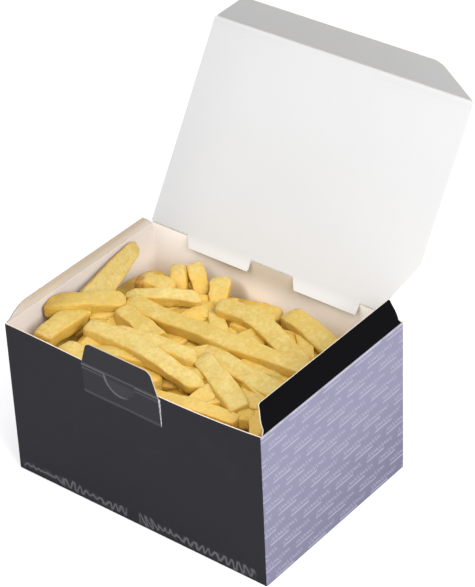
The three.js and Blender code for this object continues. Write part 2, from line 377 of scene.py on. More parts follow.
def frontPrint():
    paint, tone, fibre = blackPrint("frontBlack", boardFinish["frontBlack"])
    x, y, z = paint.axes()
    line = frontStrokes
    turn = (x + (paint.speckle(45, 1) - 0.5) * line["drift"]) * (2 * math.pi / line["wave"])
    reach = (paint.speckle(60, 1) - 0.25) * line["lift"]
    steep = (turn + math.pi / 2).sine() * reach * (2 * math.pi / line["wave"])
    distance = (z - line["height"] - turn.sine() * reach).size() / (steep * steep + 1).root()
    ink = distance.under(line["halfThick"] * 0.6, line["halfThick"] * 1.5)
    first, second = [x.near(place, half - 2 * mm, half) for place, half in (line["first"], line["second"])]
    front = y.under(-halfDepth * 0.9, -halfDepth * 0.85)
    haze = z.near(line["height"], mm, 4.2 * mm) * paint.speckle(260, 3).step(0.45, 0.75) * 0.45
    share = ink.most(haze) * first.most(second) * front * (0.35 + 0.4 * paint.speckle(300, 2))
    tone = paint.blend(share, tone, boardFinish["frontLine"])
    return paint.set(color=tone, roughness=0.55 + 0.12 * fibre, specular=0.15)


def plainBlack(name, base, specular):
    paint, tone, fibre = blackPrint(name, base)
    return paint.set(color=tone, roughness=0.55 + 0.12 * fibre, specular=specular)


def tabPrint():  # worn where the panel, the tab and the half-moon were pressed and folded
    paint, tone, fibre = blackPrint("tabBlack", boardFinish["tabBlack"])
    x, y, z = paint.axes(paint.attribute("flat", "Vector"))
    radius = (x * x + y * y).root()
    uneven = 0.6 + 0.8 * paint.speckle(110, 3)
    reach = lockShape["moon"]
    beside = x.size().step(reach - 0.5 * mm, reach + 0.5 * mm)
    upper = y.near(0.7 * mm, 0.2 * mm, 1.1 * mm) * 0.30
    lower = y.near(-1.9 * mm, 0.2 * mm, 1.1 * mm) * beside * 0.22
    foot = y.near(0.8 * mm - lockShape["height"], 0.2 * mm, 1.2 * mm) * 0.20
    arc = radius.near(reach + 0.3 * mm, 0.3 * mm, 1.2 * mm) * y.under(-mm, 0) * x.under(-mm, 7 * mm)
    moon = radius.under(reach - mm, reach) * y.under(-2.5 * mm, -mm) * 0.10
    share = upper.most(lower).most(foot).most(arc * 0.75).most(moon) * uneven
    tone = paint.blend(share.least(1.0), tone, boardFinish["tabWorn"])
    return paint.set(color=tone, roughness=0.55 + 0.12 * fibre, specular=0.2)


# Two scribbled lines printed along the front wall's foot
frontStrokes = {"height": 4.6 * mm, "lift": 6.5 * mm, "halfThick": 0.66 * mm, "wave": 4.6 * mm,
                "drift": 12 * mm, "first": (-43.5 * mm, 36.5 * mm), "second": (38 * mm, 38.5 * mm)}

# Rows of straight and wavy strokes printed all over the side walls, in sizes of the row or the motif
sideStrokes = {"row": 7.3 * mm, "motif": 27 * mm, "shift": 0.37, "wave": 0.085, "halfThick": 0.062}


def lilacPrint():
    paint = Paint("lilacPrint")
    x, y, z = paint.axes()
    line = sideStrokes
    fibre = paint.speckle(700, 3)
    level = z / line["row"] + (paint.speckle(60, 2) - 0.5) * 0.12
    row = level.floor()
    up = level - row
    along = y / line["motif"] + row * line["shift"]
    across = along - along.floor()
    straight = up.near(0.25, line["halfThick"] * 0.5, line["halfThick"] * 1.8) * across.near(0.36, 0.26, 0.29)
    curl = (across * (2 * math.pi / line["wave"]) + row).sine() * (across * 9 + row * 2).sine().size() * 0.16
    wavy = (up - curl).near(0.62, line["halfThick"] * 0.6, line["halfThick"] * 2.2)
    wavy = wavy * across.near(0.5, 0.38, 0.42)
    share = straight.most(wavy * 0.75) * (0.45 + 0.7 * paint.speckle(260, 2))
    lighter = boardFinish["lilac"]
    base = paint.blend(paint.speckle(14, 3).step(0.3, 0.75), lighter, shade(lighter, 0.93))
    # painted shade: the lilac darkens towards the bottom and the rear
    base = paint.blend(z.under(0, 70 * mm) * (0.7 + 6 * y), base, boardFinish["lilacShadeLow"])
    tone = paint.blend(share * 0.95, base, boardFinish["lilacLine"])
    # a lighter, broken line along the top crease
    creaseLine = z.near(rim - 0.7 * mm, 0.2 * mm, 1.1 * mm) * paint.speckle(180, 3).step(0.25, 0.55)
    tone = paint.blend(creaseLine * 0.45, tone, boardFinish["lilacCrease"])
    paint.relief(fibre + 0.5 * paint.speckle(140, 2), 0.00005, 0.35)
    return paint.set(color=tone, roughness=0.52 + 0.12 * fibre, specular=0.3)


# Sizes of the carton's board, its box and its lock

board = 0.6 * mm
boxShape = {"fold": 0.65 * mm, "bowReach": 2.6 * mm, "bowSkew": 0.9, "columns": 24, "rows": 10, "sideRows": 8,
            "sideDrop": 0.58 * mm, "sideSlant": 0.3 * mm, "hollow": 0.25 * mm}
lockShape = {"centre": -3.6 * mm, "width": 50.4 * mm, "height": 17.5 * mm, "drop": 19.1 * mm, "tilt": 3.4,
             "turn": 1, "gap": 0.25 * mm, "moon": 9.8 * mm, "moonGap": 0.06 * mm}
tearShape = {"overlap": 0.05 * mm, "narrow": 0.35 * mm, "wide": 1.25 * mm, "set": 0.02 * mm, "rows": 16,
             "grain": 900, "ragged": 0.25 * mm}
hingeTab = {"offset": -0.8 * mm, "spacing": 70.2 * mm, "width": 43 * mm, "leftSlant": 3.2 * mm,
            "rightSlant": 0.5 * mm, "notchSlant": 2.6 * mm, "depth": 6.6 * mm, "gap": 0.3 * mm}
tabCentres = [hingeTab["offset"] + side * hingeTab["spacing"] / 2 for side in (-1, 1)]


insideWarm = boardInside("boardInsideWarm", boardFinish["wall"], boardFinish["wallBounce"])
insideSide = boardInside("boardInsideSide", boardFinish["side"], boardFinish["sideWarm"], reach=32 * mm)
insideClean = boardInside("boardInsideClean", boardFinish["lid"], light=boardFinish["lidLight"])
insideFlap = boardInside("boardInsideFlap", boardFinish["flap"], paintedShade=boardFinish["flapShade"])
insideTuck = boardInside("boardInsideTuck", boardFinish["tuck"])
cutEdge = boardEdge("cutEdge", boardFinish["edge"])
sideEdge = boardEdge("sideEdge", boardFinish["sideEdge"])
flapEdge = boardEdge("flapEdge", boardFinish["flapEdge"])
tabRim = boardEdge("tabRim", boardFinish["tabRim"])
torn = tornBoard()
frontBlack = frontPrint()
tabBlack = tabPrint()
tabEdge = plainBlack("tabEdge", boardFinish["tabWorn"], 0.2)
flapBlack = plainBlack("flapBlack", boardFinish["flapBlack"], 0.03)
lidBlack = plainBlack("lidBlack", boardFinish["frontBlack"], 0.3)
lilac = lilacPrint()
print("materials of the board ready")


# The carton: walls and base of one folded sheet, outside first, then its thickness

def bulge(x, z):
    across = x / halfWidth
    crown = (1 - across * across) * (1 + boxShape["bowSkew"] * across)
    return boxShape["bowReach"] * max(0, crown) * (z / rim) ** 2


def lockFoot():
    z = rim - lockShape["drop"]
    return Vector((lockShape["centre"], board / 2 - halfDepth - bulge(lockShape["centre"], z), z))


def lockPlace(tilt, foot):  # stands a flat panel up on its foot, tilted outwards
    turn = Matrix.Rotation(-math.radians(lockShape["turn"]), 4, "Z")
    return Matrix.Translation(foot) @ turn @ Matrix.Rotation(math.pi / 2 + math.radians(tilt), 4, "X")


def paintSheet(piece, front, back, edge):  # front faces +Z; the sheet then gets its thickness both ways
    setMaterials(piece, [front, back, edge])
    modify(piece, "SOLIDIFY", thickness=board, offset=0, use_even_offset=True, material_offset=1,
           material_offset_rim=2)


def setBack(sheet, height, shift):  # moves the +Z side's edge away from a fold, so that the fold can close
    for vertex in sheet.data.vertices:
        if level(vertex.co.y, height) and vertex.co.z > 0:
            vertex.co.y += shift


def markFlat(sheet, height):  # keeps the flat place of each point, measured from the tab's fold
    storeVectors(sheet, "flat", [vertex.co - Vector((0, height, 0)) for vertex in sheet.data.vertices])


def lockPanel():
    half, top = lockShape["width"] / 2, lockShape["height"] - lockShape["gap"]
    panel = addSheet("lockPanel", (-half, -board), (half, top))
    paintSheet(panel, tabBlack, insideWarm, tabEdge)
    pickNone()
    bpy.ops.mesh.primitive_cylinder_add(vertices=64, radius=lockShape["moon"] + lockShape["moonGap"],
                                        depth=4 * board, location=(0, lockShape["height"], 0))
    moon = named("moonCut")
    setMaterials(moon, [tabEdge])
    carve(panel, moon)
    markFlat(panel, lockShape["height"])
    panel.data.transform(lockPlace(lockShape["tilt"], lockFoot()))
    return join([panel, tornEdge()], "lockPanel")


def tornEdge():  # the panel's right edge, torn from the wall and wider towards the top
    half, top = lockShape["width"] / 2, lockShape["height"]
    reach = math.tan(math.radians(lockShape["tilt"])) * top
    tear = tearShape
    strip = addBlock("tornEdge", (half - tear["overlap"], 0, -board / 2),
                     (half + tear["narrow"], top, board / 2 - tear["set"]))
    openEdit(strip)
    for i in range(1, tear["rows"]):
        cut(strip, (0, top * i / tear["rows"], 0), (0, 1, 0))
    closeEdit()
    for vertex in strip.data.vertices:
        up = vertex.co.y / top
        if vertex.co.z < 0:
            vertex.co.z -= reach * up
        ragged = noise.noise(vertex.co * tear["grain"]) * tear["ragged"]
        vertex.co.x += ragged + (tear["wide"] - tear["narrow"]) * up if vertex.co.x > half else 0
    setMaterials(strip, [torn])
    strip.data.transform(lockPlace(lockShape["tilt"], lockFoot()))
    return strip


def cartonBoard():
    shell = addBlock("cartonBoard", (-halfWidth, -halfDepth, 0), (halfWidth, halfDepth, rim))
    openEdit(shell)
    choose(shell, "faces", lambda face: face.normal.z > 0.9)
    bpy.ops.mesh.delete(type="FACE")
    bpy.ops.mesh.select_mode(type="EDGE")
    choose(shell, "edges", lambda edge: middle(edge).z < rim - mm)
    bpy.ops.mesh.bevel(offset=boxShape["fold"], segments=3, profile=0.5, clamp_overlap=False)
    for i in range(1, boxShape["columns"]):
        cut(shell, (halfWidth * (2 * i / boxShape["columns"] - 1), 0, 0), (1, 0, 0))
    for i in range(1, boxShape["rows"]):
        cut(shell, (0, 0, rim * i / boxShape["rows"]), (0, 0, 1))
    for i in range(1, boxShape["sideRows"]):
        cut(shell, (0, halfDepth * (2 * i / boxShape["sideRows"] - 1), 0), (0, 1, 0))
    closeEdit()
    for vertex in shell.data.vertices:
        x, y, z = vertex.co
        if y < boxShape["fold"] - halfDepth:
            vertex.co.y -= bulge(x, z)
        elif abs(x) > halfWidth - boxShape["fold"]:
            inwards = (1 - (y / halfDepth) ** 2) * math.sin(math.pi * z / rim) * boxShape["hollow"]
            vertex.co.x -= math.copysign(inwards, x)
    setMaterials(shell, [frontBlack, lilac, insideWarm, insideSide, cutEdge, sideEdge])
    for face in shell.data.polygons:
        face.material_index = 1 if abs(face.normal.x) > 0.7 else 0
    modify(shell, "SOLIDIFY", thickness=board, offset=-1, use_even_offset=True, material_offset=2,
           material_offset_rim=4)
    carveCarton(shell)
    return join([shell, lockPanel()], "cartonBoard")


def slantTip(place, right):  # in edit mode; narrows the selected end of a hinge tab, or of its notch
    left, width = hingeTab["leftSlant"], hingeTab["width"]
    centre = place + width / 2 * (left - right) / (left + right)
    bpy.ops.transform.resize(value=((width - left - right) / width, 1, 1), center_override=(centre, 0, 0))


def carveCarton(shell):
    innerDepth = halfDepth - board
    slot = lockShape["width"] / 2 + lockShape["gap"]
    centre = lockShape["centre"]
    cutters = [
        addBlock("slotCut", (centre - slot, -halfDepth - 6 * mm, rim - lockShape["drop"]),
                 (centre + slot, board - innerDepth, rim + mm)),
        addBlock("dropCut", (-halfWidth - mm, -innerDepth, rim - boxShape["sideDrop"]),
                 (halfWidth + mm, innerDepth, rim + mm)),
    ]
    half = hingeTab["width"] / 2 + hingeTab["gap"]
    foot = rim - hingeTab["depth"] - hingeTab["gap"]
    for place in tabCentres:
        notch = addBlock("notchCut", (place - half, innerDepth - mm, foot),
                         (place + half, halfDepth + mm, rim + mm))
        openEdit(notch)
        choose(notch, "faces", lambda face: face.normal.z < -0.9)
        slantTip(place, hingeTab["notchSlant"])
        closeEdit()
        cutters.append(notch)
    for cutter in cutters:
        setMaterials(cutter, [cutEdge])
        carve(shell, cutter)
    for vertex in shell.data.vertices:  # the sides' top slants inwards, clear of the folded flaps
        x, y, z = vertex.co
        inner = abs(y) < innerDepth + 0.01 * mm and abs(x) < halfWidth - board / 2
        if inner and level(z, rim - boxShape["sideDrop"]):
            vertex.co.z -= boxShape["sideSlant"]


# The lid and its tuck flap

lidShape = {"length": 115.49 * mm, "halfWidth": 82.3 * mm, "lean": 32.5, "cutAcross": 15 * mm,
            "cutUp": 29.5 * mm, "gap": 0.25 * mm, "endGap": 0.28 * mm, "secondFold": 2.3 * mm,
            "foldRise": 0.22 * mm, "foldEnds": (-32 * mm, 26 * mm)}
tuckShape = {"halfWidth": 81 * mm, "length": 16.5 * mm, "taper": 18.6 * mm, "corner": 4 * mm, "fold": 33.5}
creaseRadius = 0.277 * mm
foldRelief = 0.15 * mm


def crease(name, start, end, outside, inside, outwards):  # a round fold that looks alike at any angle
    start, end = Vector(start), Vector(end)
    pickNone()
    bpy.ops.mesh.primitive_cylinder_add(vertices=12, radius=creaseRadius, depth=(end - start).length)
    bead = named(name)
    turn = (end - start).to_track_quat("Z", "Y").to_matrix().to_4x4()
    bead.data.transform(Matrix.Translation((start + end) / 2) @ turn)
    setMaterials(bead, [outside, inside])
    outwards = Vector(outwards)
    for face in bead.data.polygons:
        face.material_index = 0 if face.normal.dot(outwards) > 0.1 else 1
    smooth(bead, 60)
    return bead


def shapeEnd(sheet, length, share, corner, segments):  # narrows a sheet's free edge and rounds its corners
    openEdit(sheet, "EDGE")
    choose(sheet, "edges", lambda edge: level(middle(edge).y, length))
    bpy.ops.transform.resize(value=(share, 1, 1), center_override=(0, length, 0))
    bpy.ops.mesh.select_mode(type="VERT")
    choose(sheet, "verts", lambda vertex: level(vertex.co.y, length))
    bpy.ops.mesh.bevel(offset=corner, affect="VERTICES", segments=segments)
    closeEdit()


def lidPlace():
    hinge = Vector(hinges["lid_hinge"]["pos_m"])
    return Matrix.Translation(hinge) @ Matrix.Rotation(math.radians(90 - lidShape["lean"]), 4, "X")


def lidSheet():
    half, end = lidShape["halfWidth"], lidShape["length"] - lidShape["endGap"]
    sheet = addSheet("lidBoard", (-half, lidShape["gap"]), (half, end))
    openEdit(sheet)
    across, up = lidShape["cutAcross"], lidShape["cutUp"]
    cut(sheet, (half, up, 0), (up, -across, 0), clear=True)
    for place in tabCentres:
        for side in (-1, 1):
            cut(sheet, (place + side * hingeTab["width"] / 2, 0, 0), (1, 0, 0))
    for place in tabCentres:
        bpy.ops.mesh.select_mode(type="EDGE")
        choose(sheet, "edges", lambda edge: level(middle(edge).y, lidShape["gap"])
               and abs(middle(edge).x - place) < mm)
        bpy.ops.mesh.extrude_region_move(TRANSFORM_OT_translate={
            "value": (0, -hingeTab["depth"] - lidShape["gap"], 0)})
        slantTip(place, hingeTab["rightSlant"])
    raiseSecondFold(sheet)
    closeEdit()
    return sheet


def raiseSecondFold(sheet):  # in edit mode; the lid's fold is creased twice towards both ends
    end, second = lidShape["length"] - lidShape["endGap"], lidShape["length"] - lidShape["secondFold"]
    for height in (second - 2.5 * mm, second, end - 0.4 * mm):
        cut(sheet, (0, height, 0), (0, 1, 0))
    for place in lidShape["foldEnds"]:
        for shift in (-4, 0, 4):
            cut(sheet, (place + shift * mm, 0, 0), (1, 0, 0))
    bpy.ops.mesh.select_mode(type="VERT")
    first, last = lidShape["foldEnds"]
    choose(sheet, "verts", lambda vertex: level(vertex.co.y, second)
           and (vertex.co.x < first or vertex.co.x > last))
    bpy.ops.transform.translate(value=(0, 0, lidShape["foldRise"]))


def lidBoard():
    sheet = lidSheet()
    paintSheet(sheet, insideClean, lidBlack, cutEdge)
    setBack(sheet, lidShape["length"] - lidShape["endGap"], -foldRelief)
    sheet.data.transform(lidPlace())
    hinge = Vector(hinges["lid_hinge"]["pos_m"])
    half = hingeTab["width"] / 2 + hingeTab["gap"]
    ends = [mm - halfWidth, *[place + side * half for place in tabCentres for side in (-1, 1)],
            halfWidth - lidShape["cutAcross"]]
    beads = [crease("hingeCrease", (ends[i], hinge.y, hinge.z), (ends[i + 1], hinge.y, hinge.z),
                    lidBlack, insideClean, (0, 1, -0.3)) for i in (0, 2, 4)]
    return join([sheet, *beads], "lidBoard")


def tuckFlap():
    half, length = tuckShape["halfWidth"], tuckShape["length"]
    sheet = addSheet("tuckFlapBoard", (-half, lidShape["gap"]), (half, length))
    shapeEnd(sheet, length, (half - tuckShape["taper"]) / half, tuckShape["corner"], 6)
    paintSheet(sheet, insideTuck, lidBlack, cutEdge)
    setBack(sheet, lidShape["gap"], foldRelief)
    turn = Matrix.Rotation(math.radians(tuckShape["fold"]), 4, "X")
    sheet.data.transform(lidPlace() @ Matrix.Translation((0, lidShape["length"], 0)) @ turn)
    hinge = Vector(hinges["tuck_hinge"]["pos_m"])
    bead = crease("tuckCrease", (-half, hinge.y, hinge.z), (half, hinge.y, hinge.z),
                  lidBlack, insideClean, (0, 1, 0.3))
    return join([sheet, bead], "tuckFlapBoard")


# The dust flaps on the side walls

flapShape = {"height": 15.7 * mm, "baseHalf": 57.4 * mm, "lean": {-1: 30, 1: 18}, "gap": 0.25 * mm,
             "rows": 14, "corner": 1.4 * mm, "slant": 1.1 * mm, "round": 4.5 * mm, "roundShare": 0.8,
             "scoops": ((1.8 * mm, 0.3 * mm, 2.2 * mm), (2 * mm, 5 * mm, 15.7 * mm))}


def rounded(up, radius):  # how far a corner of this radius sets a flap's end back
    over = max(0, up - flapShape["height"] + radius)
    return radius - math.sqrt(max(0, radius ** 2 - over ** 2))


def flapHalf(up, side, end):  # half length of a flap at a height above its fold; end is -1 at the front
    shape = flapShape
    half = shape["baseHalf"]
    for depth, low, high in shape["scoops"]:
        half -= depth * ease(low, high, up)
    half -= rounded(up, shape["corner"])
    if side > 0:
        return half
    if end > 0:
        return min(half, shape["baseHalf"] + shape["slant"] - up)
    return half - rounded(up, shape["round"]) * shape["roundShare"]


def dustFlap(side, name):
    shape = flapShape
    sheet = addSheet(name, (-shape["baseHalf"], shape["gap"]), (shape["baseHalf"], shape["height"]))
    openEdit(sheet)
    for i in range(1, shape["rows"]):
        cut(sheet, (0, shape["gap"] + (shape["height"] - shape["gap"]) * i / shape["rows"], 0), (0, 1, 0))
    for i in range(1, 4):
        cut(sheet, (0, shape["height"] - 0.35 * mm * i, 0), (0, 1, 0))
    closeEdit()
    for vertex in sheet.data.vertices:
        end = 1 if vertex.co.x > 0 else -1
        vertex.co.x = end * flapHalf(vertex.co.y, side, end * side)
    paintSheet(sheet, flapBlack, insideFlap, flapEdge if side < 0 else cutEdge)
    lean = math.radians(shape["lean"][side])
    along = Vector((0, side, 0))
    up = Vector((-side * math.sin(lean), 0, math.cos(lean)))
    turn = Matrix((along, up, along.cross(up))).transposed().to_4x4()
    hinge = Vector(hinges["dust_right_hinge" if side > 0 else "dust_left_hinge"]["pos_m"])
    sheet.data.transform(Matrix.Translation(hinge) @ turn)
    reach = shape["baseHalf"]
    bead = crease("flapCrease", (hinge.x, -reach, hinge.z), (hinge.x, reach, hinge.z),
                  lilac, insideFlap, (side, 0, 0.3))
    return join([sheet, bead], name)


# The lock tab on the front wall

tabShape = {"height": 14.4 * mm, "topWidth": 41.4 * mm, "tilt": 1, "corner": 3 * mm, "gap": 0.25 * mm}


def lockTab():
    half, length = lockShape["width"] / 2, tabShape["height"]
    tab = addSheet("lockTabBoard", (-half, tabShape["gap"]), (half, length))
    shapeEnd(tab, length, tabShape["topWidth"] / lockShape["width"], tabShape["corner"], 5)
    paintSheet(tab, tabBlack, insideWarm, tabRim)
    tab.data.materials.append(tabEdge)
    for face in tab.data.polygons:
        if face.material_index == 2 and face.center.y < mm:
            face.material_index = 3
    pickNone()
    bpy.ops.mesh.primitive_circle_add(vertices=64, radius=lockShape["moon"], fill_type="NGON")
    moon = named("moon")
    openEdit(moon)
    cut(moon, (0, tabShape["gap"] * 2, 0), (0, 1, 0), clear=True)
    closeEdit()
    paintSheet(moon, tabBlack, insideWarm, tabEdge)
    carve(tab, moon, "UNION")
    markFlat(tab, 0)
    foot = lockPlace(lockShape["tilt"], lockFoot()) @ Vector((0, lockShape["height"], 0))
    tab.data.transform(lockPlace(tabShape["tilt"], foot))
    beads = []
    turn = Matrix.Rotation(-math.radians(lockShape["turn"]), 4, "Z")
    for side in (-1, 1):
        ends = [foot + turn @ Vector((side * reach, 0, 0)) for reach in (lockShape["moon"], half)]
        beads.append(crease("tabCrease", ends[0], ends[1], tabEdge, insideWarm, (0, -1, 0)))
    return join([tab, *beads], "lockTabBoard")


finishPiece(cartonBoard(), "box", "carton", "carton")
print("carton folded")
finishPiece(lidBoard(), "lid", "lid_inside", "lid")
finishPiece(tuckFlap(), "tuck_flap", "lid_inside", "tuck_flap")
finishPiece(dustFlap(-1, "dustFlapLeftBoard"), "dust_flap_left", "carton", "dust_flap_left")
finishPiece(dustFlap(1, "dustFlapRightBoard"), "dust_flap_right", "carton", "dust_flap_right")
finishPiece(lockTab(), "lock_tab", "carton", "lock_tab")
print("lid and flaps folded")


# The fries

fryFinish = {
    "pale": (0.535, 0.435, 0.175),
    "gold": (0.435, 0.305, 0.068),
    # amber and brown also serve as painted shade in crevices and on shaded sides; brown is also the toast on
    # the ends
    "amber": (0.60, 0.36, 0.044),
    "brown": (0.29, 0.125, 0.016),
}


def friedPotato(name):
    paint = Paint(name)
    grain = paint.attribute("fryGrain", "Vector")
    # painted shade: the attribute's alpha, a deeper gold on sides, undersides and low fries
    fryShade = paint.attribute("fryWear", "Alpha")
    wear = paint.node("SeparateColor", None, {"Color": paint.attribute("fryWear", "Color")})
    edge, toast, tone = [paint.out(wear, part) for part in ("Red", "Green", "Blue")]
    cloud = paint.speckle(110, 4, grain)
    fine = paint.speckle(480, 3, grain)
    # painted shade: ambient occlusion turns crevices amber, and the deepest brown
    hollow = 1 - paint.out(paint.node("AmbientOcclusion", {"samples": 8}, {"Distance": 6 * mm}), "AO")
    golden = cloud.step(0.22, 0.75) * 0.5 + fine.step(0.3, 0.7) * 0.45 + tone * 0.45 + edge * 0.3
    color = paint.blend(golden.least(1.0), fryFinish["pale"], fryFinish["gold"])
    # golden edges, and painted shade on sides, low fries and crevices, turn amber
    goldAndShade = (fryShade.step(0.05, 0.9) * 0.75 + edge.step(0.4, 1.0) * 0.15).most(hollow.step(0.12, 0.7) * 0.95)
    color = paint.blend(goldAndShade, color, fryFinish["amber"])
    color = paint.blend(hollow.step(0.75, 1.0) * 0.15, color, fryFinish["brown"])
    fried = toast * (0.5 + 0.8 * fine.step(0.3, 0.7)) + fine.step(0.64, 0.76) * cloud.step(0.45, 0.7) * 0.3
    color = paint.blend(fried.least(0.9), color, fryFinish["brown"])
    paint.relief(paint.speckle(700, 4, grain) + paint.speckle(220, 3, grain), 0.0007, 0.7)
    return paint.set(color=color, roughness=0.42 + 0.22 * fine, specular=0.4, subsurface=0.5,
                     subsurfaceScale=0.003, subsurfaceRadius=(1.0, 0.55, 0.2))


fryShape = {"length": 60 * mm, "side": 4 * mm, "cap": 6 * mm, "cuts": 18, "corner": 1.5 * mm,
            "endCorner": 1.2 * mm, "sunk": 0.06, "waist": 0.06, "wall": 0.3 * mm, "squeeze": 2 * mm,
            "seed": 7, "bend": (40, 40, 0.8 * mm), "lump": (120, 70, 0.4 * mm),
            "skin": (300, 90, 0.22 * mm)}

# Fries that show, in mm: x, y and depth below the rim of the middle line's points, then width and height.
# Any of these may follow: taper, roll and turn, how narrow and how toasted its two ends are, its tone, how
# much deep gold it takes as painted shade and how uneven it is. What isn't given is drawn at random or left
# at 1.
shownFries = [
    {"path": [(-52, 3, 9.6), (-28, 1, 8.8), (-4, 1.5, 8.4), (31, 1.5, 7.4), (65, 7, 9.5)],
     "size": (11.5, 8.5), "taper": 0.92, "roll": 15},
    {"path": [(-55, -27, 10), (-26, -27, 8.6), (4, -31, 8.8), (25, -33.5, 10.3)], "size": (11.5, 8.5),
     "ends": (0.8, 0.35), "roll": 14},
    {"path": [(-12, 26, 10.2), (2, 27, 9.2), (14.5, 25.4, 8.5), (25.2, 22.2, 8.5), (38.4, 17, 9.2),
              (58, 10.3, 11)], "size": (11.2, 6.8), "taper": 1, "roll": 18, "wobble": 0.4},
    {"path": [(-71, -10, 13.5), (-75.3, 15, 9.2), (-78.6, 41, 4.5)], "size": (17, 6.2), "taper": 0.58,
     "roll": 52, "turn": 0, "wobble": 0.25, "ends": (0.8, 0.45), "toast": (0, 0.15), "tone": 0, "goldAndShade": 0.3},
    {"path": [(-82.5, -29.5, 6.8), (-67, -13.5, 6.1), (-50, -1, 7.3)], "size": (11, 8), "ends": (0.8, 0.5),
     "toast": (0.35, 0), "roll": 12},
    {"path": [(-56, 4, 8.8), (-38, 15.5, 7.6), (-21, 24.5, 8.3)], "size": (9, 7.5), "ends": (0.6, 0.45),
     "roll": 12},
    {"path": [(-69, -47.3, 12), (-68.5, -32.5, 10.8), (-67, -14, 11)], "size": (12.5, 9),
     "roll": 13, "turn": 0, "ends": (0.9, 0.8)},
    {"path": [(-49, -7, 8.8), (-33, -11, 8.8), (-18, -13.5, 10)], "size": (11, 8), "ends": (0.8, 0.95),
     "roll": 14},
    {"path": [(-40, -21.5, 10.6), (-18, -19.5, 9.4), (9, -17.5, 10.3)], "size": (10.5, 8), "ends": (0.7, 0.6),
     "roll": 13},
    {"path": [(9, -12, 11.6), (27, -22.5, 10.8), (39, -28.7, 11.6), (51, -35.7, 13.2)], "size": (11.5, 8.5),
     "roll": 10},
    {"path": [(6, -5.5, 12.3), (30, -11.5, 12), (50, -14, 12.3), (65, -14, 12.8)], "size": (10.5, 8),
     "roll": 12},
    {"path": [(4, -48.5, 14.4), (31, -44.5, 13.6), (54, -40.5, 14.8)], "size": (7.2, 6), "roll": 14},
    {"path": [(50, -24, 17), (60, -34, 16.5), (68, -45, 17)], "size": (9.5, 8)},
    {"path": [(-57, -43, 13.5), (-35, -44, 14.5), (-14, -45, 15.5)], "size": (9.5, 8)},
    {"path": [(-64, 22, 13), (-54.5, 27, 13), (-44, 31, 15)], "size": (10, 8), "toast": (1.6, 0), "roll": 13},
    {"path": [(-54, 46, 11.8), (-49.5, 40.5, 14.8), (-44.5, 34.5, 18.5)], "size": (9.5, 8), "wobble": 0.6},
    {"path": [(-49, 52.5, 12.8), (-40, 45.5, 15.5), (-31.5, 38, 18.5)], "size": (10, 8), "ends": (0.9, 0.6),
     "toast": (0.2, 0.2), "wobble": 0.6},
    {"path": [(-28.5, 50, 12.6), (-22, 40, 14.4), (-15, 29.5, 16.8)], "size": (12, 8), "wobble": 0.6,
     "taper": 0.75, "ends": (0.7, 0.8)},
    {"path": [(-6, 34, 17.5), (6, 39, 16), (17, 43, 15.4)], "size": (9.5, 8), "goldAndShade": 0.4},
    {"path": [(22, 41.3, 12), (34, 38.8, 11.5), (49.2, 35, 13), (64, 32, 14.6)], "size": (13, 10.5),
     "taper": 1, "roll": 15, "toast": (0.3, 0), "wobble": 0.4, "goldAndShade": 0.5},
    {"path": [(32, 36, 21), (50, 33, 20.5), (70, 29, 20)], "size": (9, 8)},
    {"path": [(-21.5, 9, 16.4), (-18.5, 21, 15.4), (-17, 33, 16.4)], "size": (12, 8), "wobble": 0.7},
    {"path": [(-13, 13, 18.6), (-8, 22.5, 18), (-3, 33, 18.6)], "size": (10, 8), "wobble": 0.7},
    {"path": [(0, 34, 18), (10, 22.5, 16), (22, 10, 15.4)], "size": (10.5, 8), "wobble": 0.6, "goldAndShade": 0.6},
    {"path": [(14, 20, 18), (29, 17, 17), (46, 13, 17)], "size": (9.5, 8)},
    {"path": [(34, -3, 16), (46, -3, 15.5), (62, -2, 16)], "size": (9.5, 8)},
    {"path": [(-63, -15, 14), (-50, -4, 13), (-38, 5, 13)], "size": (10.5, 8)},
    {"path": [(-14, 24, 22), (2, 20, 21.5), (18, 17, 21)], "size": (9, 8)},
]


def straightFry():  # a bar with soft edges and ends, along X
    half, side = fryShape["length"] / 2, fryShape["side"]
    bar = addBlock("straightFry", (-half, -side, -side), (half, side, side))
    openEdit(bar, "EDGE")
    choose(bar, "edges", lambda edge: abs(middle(edge).x) < half / 2)
    bpy.ops.mesh.bevel(offset=fryShape["corner"], segments=3, profile=0.5, clamp_overlap=False)
    choose(bar, "edges", lambda edge: level(abs(middle(edge).x), half)
           and max(abs(middle(edge).y), abs(middle(edge).z)) > side - 0.7 * fryShape["corner"])
    bpy.ops.mesh.bevel(offset=fryShape["endCorner"], segments=2, profile=0.5, clamp_overlap=False)
    for i in range(1, fryShape["cuts"]):
        cut(bar, (half * (2 * i / fryShape["cuts"] - 1) * 0.94, 0, 0), (1, 0, 0))
    closeEdit()
    modify(bar, "SUBSURF", levels=1, render_levels=1)
    return bar


def fryPath(points):
    pickNone()
    bpy.ops.curve.primitive_bezier_curve_add()
    curve = bpy.context.object
    spline = curve.data.splines[0]
    spline.bezier_points.add(len(points) - 2)
    for point, place in zip(spline.bezier_points, points):
        point.co = place
        point.handle_left_type = point.handle_right_type = "AUTO"
    curve.data.twist_mode = "Z_UP"
    curve.data.resolution_u = 16
    curve.location = (0, 0, 0)
    bpy.context.view_layer.update()
    return curve, spline.calc_length()


def sway(place):  # a smooth random shift, the same at each run, which noise_vector isn't
    return Vector([noise.noise(place + Vector((31.4, 17.7, 7.3)) * i) for i in range(3)])


